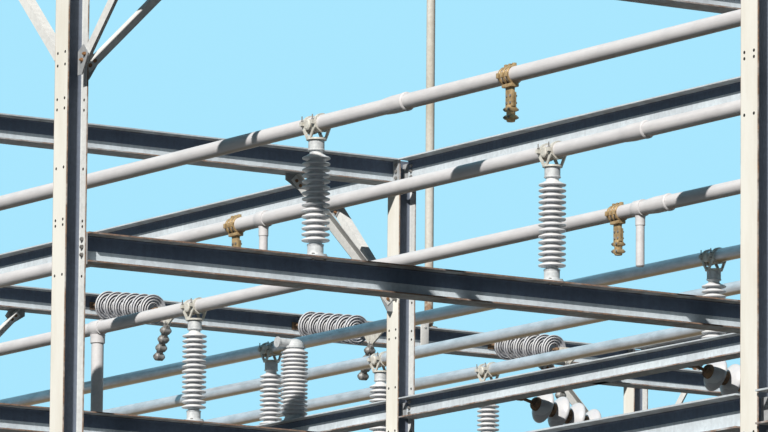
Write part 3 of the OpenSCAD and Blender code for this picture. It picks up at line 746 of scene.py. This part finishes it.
# bronze taps: three straps round the tube, then pads and a stud clamp down from its underside
tapShape = {
    "straps": (-0.044, 0.0, 0.044), "strapHalf": 0.011,
    "strap": [(0, -0.011), (0.007, -0.011), (0.010, -0.007), (0.010, 0.007), (0.007, 0.011), (0, 0.011),
              (0, -0.011)],
    # lugs on each strap: half width and reach past the tube on top; height and reach at the sides
    "topLug": (0.012, 0.002, 0.024), "sideLug": (-0.020, 0.014, -0.002, 0.022), "lugSoft": 0.005,
    "pads": [((-0.030, -0.055, -0.026), (0.030, 0.055, -0.001), 0.007),
             ((-0.011, -0.038, -0.146), (0.011, 0.038, -0.020), 0.004),
             ((0.011, -0.034, -0.152), (0.025, 0.034, -0.054), 0.004)],
    "stud": [(0.011, -0.240), (0.024, -0.240), (0.028, -0.234), (0.028, -0.142), (0.022, -0.136),
             (0, -0.136), (0, -0.150), (0.011, -0.150), (0.011, -0.240)],
    "studOut": 0.006, "lobes": (-0.228, -0.178), "lobeTall": 0.030, "lobeSoft": 0.010,
    "lobeEnds": ((-0.026, -0.034), (0.036, 0.034)),
}


def bronzeTaps():
    bm = bmesh.new()
    t, r, half = tapShape, g["tubeRadius"], tapShape["strapHalf"]
    ring = [(r + out, along) for out, along in t["strap"]]
    stud = [(wide, z - r) for wide, z in t["stud"]]
    topHalf, topFrom, topTo = t["topLug"]
    under, over, sideFrom, sideTo = t["sideLug"]
    lobeLow, lobeHigh = t["lobeEnds"]
    for phase, y in busShape["taps"]:
        place = onTube(phase, y)
        for reach in t["straps"]:
            addRound(bm, ring, 44, place @ Matrix.Translation((0, reach, 0)) @ lyingAlongY)
            low, high = reach - half, reach + half
            addBlock(bm, (-topHalf, low, r + topFrom), (topHalf, high, r + topTo), place, t["lugSoft"])
            for ends in ((-r - sideTo, -r - sideFrom), (r + sideFrom, r + sideTo)):
                addBlock(bm, (ends[0], low, under), (ends[1], high, over), place, t["lugSoft"])
        for low, high, soft in t["pads"]:
            addBlock(bm, (*low[:2], low[2] - r), (*high[:2], high[2] - r), place, soft)
        addRound(bm, stud, 32, place @ Matrix.Translation((t["studOut"], 0, 0)))
        for z in t["lobes"]:
            top = -r + z + t["lobeTall"]
            addBlock(bm, (*lobeLow, -r + z), (*lobeHigh, top), place, t["lobeSoft"])
    return bm


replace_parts(asObject("sleeves", tubeSleeves(), "tubeMetal", sharp=30), "tube_couplers")
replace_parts(asObject("tees", tubeTees(), "tubeMetal", sharp=30), "tube_stubs")
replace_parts(asObject("bronze_taps", bronzeTaps(), "bronze", sharp=35), "tap_clamps")


# slim mast on its foot plate
mastShape = {"at": (5.12, 11.1), "radius": 0.038, "wall": 0.005, "height": 3.6, "foot": 0.078,
             "footThick": 0.014, "boreFrom": 0.020,
             "collar": [(0, 0.044), (0.005, 0.046), (0.005, 0.058), (0, 0.060)]}


def slimMast():
    m, bm = mastShape, bmesh.new()
    r, inner, tall = m["radius"], m["radius"] - m["wall"], m["height"]
    outline = [(0, 0), (m["foot"], 0), (m["foot"], m["footThick"]), (r, m["footThick"])]
    outline += [(r + out, z) for out, z in m["collar"]]
    outline += [(r, tall), (inner, tall), (inner, m["boreFrom"]), (0, m["boreFrom"])]
    addRound(bm, outline, 40, Matrix.Translation((*m["at"], g["highTop"])))
    return bm


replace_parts(asObject("slim_mast", slimMast(), "mastSteel", sharp=35), "mast")
print("bus fittings made")


# bolts: head and washer on one side, washer, nut and thread end on the other, in shares of the size
boltForm = {"washer": 1.05, "flat": 0.16, "hex": 0.92, "head": 0.62, "nut": 0.80, "thread": 0.48}
boltSizes = {"frame": 0.0145, "brace": 0.0130, "post": 0.0100, "clamp": 0.0085, "tap": 0.0085,
             "bracket": 0.011}
boltPlaces = {
    "endPlate": 0.010, "endSides": (-0.050, 0.050), "endDrops": (0.045, 0.095, 0.145), "endGrip": 0.019,
    "tabPlate": 0.008, "tabReach": 0.134, "tabRises": (-0.042, 0.0, 0.042),
    "gussetFace": 0.010, "gussetNear": 0.052, "gussetFar": 0.086, "gussetGrip": 0.014, "gussetSpare": 0.6,
    "footCircle": 0.064, "footLift": 0.016, "footGrip": 0.026, "rearFootGrip": 0.025,
    "earRise": 0.106, "earDrop": 0.013, "earSide": 0.072, "earReach": 0.062, "earGrip": 0.026,
    "earSpare": 3.4,
}
# the taps' bolts: drops under the tube's middle, sideways reach, face they stand on, grip
tapBoltRows = [((-0.128, -0.172), 0.020, 0.011, 0.036), ((-0.214, -0.264), 0.024, 0.026, 0.062)]
# both ends of a span: how many lines or rows on, and the way in from there
spanEnds = ((0, 1), (1, -1))


def addBolt(bm, at, out, size, grip, spare=0.34):
    base, f = aimed(at, out), boltForm
    washer, hexagon, flat = size * f["washer"], size * f["hex"], size * f["flat"]
    nutEnd = f["flat"] + f["nut"]
    parts = [(12, washer, 0.0, flat), (6, hexagon, flat, size * f["head"]), (12, washer, -grip - flat, flat),
             (6, hexagon, -grip - size * nutEnd, size * f["nut"]),
             (8, size * f["thread"], -grip - size * (nutEnd + spare), size * spare)]
    for sides, radius, low, tall in parts:
        addCone(bm, base, sides, radius, radius, low, tall)


def frameBolts():
    b, bm = boltPlaces, bmesh.new()
    half = g["columnDepth"] / 2
    for spans, top in ((g["lowCross"], g["lowTop"]), (g["highCross"], g["highTop"])):
        for row, span in spans:
            for end, side in spanEnds:
                x = g["lines"][span + end] + side * (half + b["endPlate"])
                for y in b["endSides"]:
                    for drop in b["endDrops"]:
                        at = (x, g["rows"][row] + y, top - drop)
                        addBolt(bm, at, (side, 0, 0), boltSizes["frame"], b["endGrip"])
    for spans, top, section in (("highRun", "highTop", "beam"), ("lowRun", "runTop", "column"),
                                ("nearRun", "nearTop", "beam")):
        top, depth, web = g[top], g[section + "Depth"], g[section + "Web"]
        for line, span in g[spans]:
            for end, side in spanEnds:
                y = g["rows"][span + end] + side * b["tabReach"]
                for rise in b["tabRises"]:
                    at = (g["lines"][line] + web / 2 + b["tabPlate"], y, top - depth / 2 + rise)
                    addBolt(bm, at, (1, 0, 0), boltSizes["brace"], b["tabPlate"] + web)
    return bm


def braceBolts():
    b, bm = boltPlaces, bmesh.new()
    across = [(span + end, row, side) for row, span in g["highCross"] for end, side in spanEnds]
    along = [(line, span + end, side) for line, span in g["bracedRun"] for end, side in spanEnds]
    for places, lengthwise, start in ((across, False, g["columnDepth"] / 2),
                                      (along, True, g["columnWidth"] / 2)):
        steps = (start + b["gussetNear"], start + b["gussetFar"],
                 braceHit - b["gussetFar"], braceHit - b["gussetNear"])
        for line, row, side in places:
            x, y = g["lines"][line], g["rows"][row]
            for step in steps:
                if lengthwise:
                    spot, out = (x + b["gussetFace"], y + side * step), (1, 0, 0)
                else:
                    spot, out = (x + side * step, y - b["gussetFace"]), (0, -1, 0)
                at = (*spot, g["braceFoot"] + step)
                addBolt(bm, at, out, boltSizes["brace"], b["gussetGrip"], b["gussetSpare"])
    return bm


def postBolts():
    b, bm = boltPlaces, bmesh.new()
    feet = [(x, y, g["lowTop"], b["footGrip"]) for x in g["phases"] for y in g["rows"]]
    feet += [(x, y, z, b["rearFootGrip"]) for x, y, z in rearFeet]
    for x, y, z, grip in feet:
        for k in range(4):
            turn = math.radians(45 + 90 * k)
            outX, outY = b["footCircle"] * math.cos(turn), b["footCircle"] * math.sin(turn)
            addBolt(bm, (x + outX, y + outY, z + b["footLift"]), (0, 0, 1), boltSizes["post"], grip)
        # studs through the clamp's ears, their ends standing up beside the tube
        for side in (-b["earSide"], b["earSide"]):
            for reach in (-b["earReach"], b["earReach"]):
                at = (x + side, y + reach, z + g["postHeight"] + b["earRise"] - b["earDrop"])
                addBolt(bm, at, (0, 0, -1), boltSizes["clamp"], b["earGrip"], b["earSpare"])
    return bm


def tapBolts():
    bm = bmesh.new()
    for phase, y in busShape["taps"]:
        for drops, half, face, grip in tapBoltRows:
            for drop in drops:
                for side in (-half, half):
                    at = (g["phases"][phase] - face, y + side, g["tubeZ"] + drop)
                    addBolt(bm, at, (-1, 0, 0), boltSizes["tap"], grip)
    return bm


asObject("frame_bolts", frameBolts(), "boltSteel", sharp=25)
asObject("brace_bolts", braceBolts(), "rustyBolt", sharp=25)
asObject("post_bolts", postBolts(), "boltSteel", sharp=25)
asObject("tap_bolts", tapBolts(), "boltSteel", sharp=25)
print("bolts made")


# round keepers on both cheeks of every clamp, domed over the last part of their stand
keeper = {"radius": 0.036, "nose": 0.026, "stand": 0.016, "straight": 0.6, "domed": 0.4, "out": 0.012,
          "drop": 0.010}


def clampKeepers():
    k, bm = keeper, bmesh.new()
    spots = [(x, y, g["tubeZ"]) for x in g["phases"] for y in g["rows"]]
    spots += [(x, y, g["rearTubeZ"]) for x in g["rearPhases"] for y in g["rearRows"]]
    straight, domed = k["stand"] * k["straight"], k["stand"] * k["domed"]
    for x, y, z in spots:
        for side in (-1, 1):
            base = aimed((x + side * (g["tubeRadius"] + k["out"]), y, z - k["drop"]), (side, 0, 0))
            addCone(bm, base, 28, k["radius"], k["radius"], 0.0, straight)
            addCone(bm, base, 28, k["radius"], k["nose"], straight, domed)
    return bm


asObject("clamp_keepers", clampKeepers(), "castAluminium", sharp=30)


# flat caps welded into the tubes' ends
capShape = {"thick": 0.007, "inset": 0.004, "gap": 0.001, "bevel": 0.003}


def tubeCaps(xs, z, ends):
    c, bm = capShape, bmesh.new()
    wide, tip = g["tubeRadius"] - c["gap"], g["tubeRadius"] - c["bevel"]
    for x in xs:
        for y, side in zip(ends, (-1, 1)):
            base = aimed((x, y - side * c["inset"], z), (0, side, 0))
            addCone(bm, base, 48, wide, tip, -c["thick"] / 2, c["thick"])
    return bm


for word, xs, z, ends, finish in (("main", g["phases"], g["tubeZ"], g["tubeEnds"], "tubeMetal"),
                                  ("rear", g["rearPhases"], g["rearTubeZ"], g["rearTubeEnds"], "endCap")):
    asObject(word + "_tube_caps", tubeCaps(xs, z, ends), finish, sharp=30)


# pairs of open bolt holes up the columns' flanges, each a dark disc of painted shade a little past both
# faces
holeRows = {"levels": [11.005, 10.235, 10.155, 9.940, 9.875, 9.500, 9.170, 9.135, 8.820, 7.060, 6.980],
            "half": 0.045, "radius": 0.0095, "past": 0.0012}


def flangeHoles():
    h, bm = holeRows, bmesh.new()
    deep = g["columnFlange"] + h["past"]
    for line, row in g["columns"]:
        for z in h["levels"]:
            for y in (-h["half"], h["half"]):
                for side in (-1, 1):
                    x = g["lines"][line] + side * (g["columnDepth"] - g["columnFlange"]) / 2
                    place = Matrix.Translation((x, g["rows"][row] + y, z)) @ lyingAlongX
                    addCone(bm, place, 14, h["radius"], h["radius"], -deep / 2, deep)
    return bm


asObject("flange_holes", flangeHoles(), "paintedHoleShade", sharp=30)


# bracket plate beside the mast, bolted to the strain beam's flange tips
bracket = {"x": 5.01, "wide": 0.080, "thick": 0.010, "low": 11.05, "high": 11.36, "fromRow": 0.100,
           "soft": 0.0015, "boltIn": 0.005, "grip": 0.030}


def mastBracket():
    b, bm = bracket, bmesh.new()
    tall = b["high"] - b["low"]
    y = g["rows"][3] - b["fromRow"] - b["thick"] / 2
    place = Matrix.Translation((b["x"], y, b["low"] + tall / 2))
    place = place @ Matrix.Diagonal((b["wide"], b["thick"], tall, 1))
    bmesh.ops.create_cube(bm, size=1.0, matrix=place)
    bmesh.ops.bevel(bm, geom=list(bm.edges), offset=b["soft"], segments=2, affect="EDGES", profile=0.5,
                    material=-1)
    for z in (g["highTop"] - b["boltIn"], g["highTop"] - g["beamDepth"] + b["boltIn"]):
        addBolt(bm, (b["x"], y - b["thick"] / 2, z), (0, -1, 0), boltSizes["bracket"], b["grip"])
    return bm


asObject("mast_bracket", mastBracket(), "braceSteel", sharp=30)
print("fittings made")


# floor, sun and backdrop
lighting = {
    "sunFrom": (-1.15, -0.80, 1.0), "sun": 5.0, "sunSoft": 0.6, "sunColour": (1.0, 0.96, 0.90),
    "sky": (0.62, 0.79, 1.0), "skyLevel": 0.055, "backdrop": (0.40, 0.80, 1.0),
    "floor": (0.62, 0.62, 0.60), "bounce": (0.050, 0.050, 0.048), "floorRough": 0.9,
    "floorSize": 120, "floorAt": -0.001,
}


def seenByCamera(tree):
    path = tree.nodes.new("ShaderNodeLightPath")
    mirrored = maths(tree, "MAXIMUM", path.outputs["Is Glossy Ray"], path.outputs["Is Transmission Ray"])
    return maths(tree, "MAXIMUM", path.outputs["Is Camera Ray"], mirrored)


def makeFloor():
    bm = bmesh.new()
    bmesh.ops.create_grid(bm, x_segments=1, y_segments=1, size=lighting["floorSize"])
    floor = bpy.data.objects.new("floor", asMesh("floor", bm))
    floor.location.z = lighting["floorAt"]
    bpy.context.scene.collection.objects.link(floor)
    paint, tree, shader = startFinish("floorPaint", 0.0)[:3]
    tone = mixed(tree, seenByCamera(tree), lighting["bounce"], lighting["floor"])
    tree.links.new(tone, shader.inputs["Base Color"])
    shader.inputs["Roughness"].default_value = lighting["floorRough"]
    floor.data.materials.append(paint)


def makeSun():
    lamp = bpy.data.lights.new("sun", "SUN")
    lamp.energy = lighting["sun"]
    lamp.angle = math.radians(lighting["sunSoft"])
    lamp.color = lighting["sunColour"]
    sun = bpy.data.objects.new("sun", lamp)
    sun.rotation_euler = (-Vector(lighting["sunFrom"])).to_track_quat("-Z", "Y").to_euler()
    bpy.context.scene.collection.objects.link(sun)


def makeSky():
    world = bpy.data.worlds.new("sky")
    bpy.context.scene.world = world
    world.use_nodes = True
    tree = world.node_tree
    tree.nodes.clear()
    out = tree.nodes.new("ShaderNodeOutputWorld")
    soft = addNode(tree, "ShaderNodeBackground",
                   {"Color": lighting["sky"] + (1.0,), "Strength": lighting["skyLevel"]})
    plain = addNode(tree, "ShaderNodeBackground", {"Color": lighting["backdrop"] + (1.0,), "Strength": 1.0})
    blend = addNode(tree, "ShaderNodeMixShader",
                    {0: seenByCamera(tree), 1: soft.outputs[0], 2: plain.outputs[0]})
    tree.links.new(blend.outputs[0], out.inputs[0])


makeFloor()
makeSun()
makeSky()
bpy.context.scene.view_settings.view_transform = "Standard"
print("stage set")
